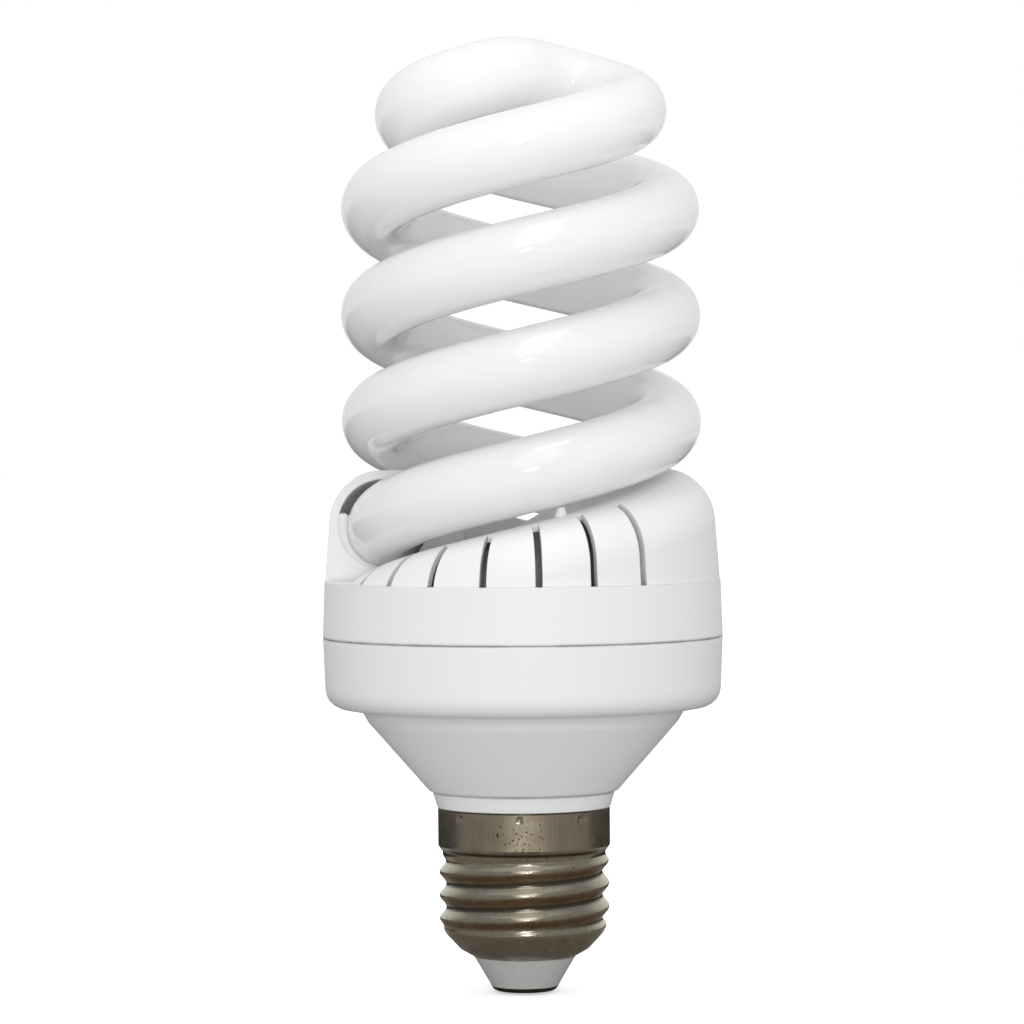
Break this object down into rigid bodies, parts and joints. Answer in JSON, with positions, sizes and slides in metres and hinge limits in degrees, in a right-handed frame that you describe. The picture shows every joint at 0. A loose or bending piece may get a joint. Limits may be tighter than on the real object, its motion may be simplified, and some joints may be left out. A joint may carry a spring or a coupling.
{
  "type": "spiral energy saving bulb",
  "caption": "Compact fluorescent lamp: white glass tube wound as a double spiral, vented two-part housing with its ballast inside, and an Edison screw cap.",
  "frame": {"origin": "on the lamp's axis at the face of the centre contact", "axes": "+Z along the axis from the contact to the crown of the tube, -Y towards the side the picture shows, +X to the right in the picture"},
  "size_m": [0.0618, 0.0618, 0.1472],
  "materials": {
    "contact_metal": "dulled tinned brass",
    "cap_insulator": "smooth moulded white",
    "nickel_shell": "nickel plated, lightly tarnished",
    "white_housing": "satin moulded white",
    "coated_glass": "glossy glass, opaque white inside coating",
    "white_cement": "matt white compound",
    "board": "bare phenolic paper board",
    "capacitor_sleeve": "shrunk black sleeve",
    "ferrite": "dark sintered",
    "bobbin": "moulded natural",
    "copper_winding": "enamelled copper",
    "toroid_wire": "red wire covering",
    "black_epoxy": "moulded black",
    "resistor_coat": "lacquered beige",
    "diac_glass": "painted glass bead",
    "film_coat": "dipped red-brown",
    "thermistor_coat": "dipped dark green",
    "tinned_wire": "tinned",
    "brass_pin": "bright drawn",
    "lead_sleeve_red": "red covering",
    "lead_sleeve_black": "black covering"
  },
  "bodies": {
    "root": {"centre_contact": "contact_metal", "cap_insulator": "cap_insulator", "screw_shell": "nickel_shell", "base_cup": "white_housing", "top_cover": "white_housing", "spiral_tube": "coated_glass", "tube_cement_1": "white_cement", "tube_cement_2": "white_cement", "circuit_board": "board", "bulk_capacitor": "capacitor_sleeve", "choke_core": "ferrite", "feedback_ring": "ferrite", "filter_core": "ferrite", "choke_bobbin": "bobbin", "choke_winding": "copper_winding", "filter_winding": "copper_winding", "feedback_winding": "toroid_wire", "transistor_1": "black_epoxy", "transistor_2": "black_epoxy", "rectifier_diode_1": "black_epoxy", "rectifier_diode_2": "black_epoxy", "rectifier_diode_3": "black_epoxy", "rectifier_diode_4": "black_epoxy", "resistor_1": "resistor_coat", "resistor_2": "resistor_coat", "resistor_3": "resistor_coat", "resistor_4": "resistor_coat", "fuse_resistor": "resistor_coat", "trigger_diode": "diac_glass", "resonant_capacitor": "film_coat", "coupling_capacitor": "film_coat", "starter_capacitor": "film_coat", "thermistor": "thermistor_coat", "tube_lead_1": "tinned_wire", "tube_lead_2": "tinned_wire", "tube_lead_3": "tinned_wire", "tube_lead_4": "tinned_wire", "wrap_pin_1": "brass_pin", "wrap_pin_2": "brass_pin", "wrap_pin_3": "brass_pin", "wrap_pin_4": "brass_pin", "live_lead": "lead_sleeve_red", "neutral_lead": "lead_sleeve_black"}
  },
  "joints": []
}
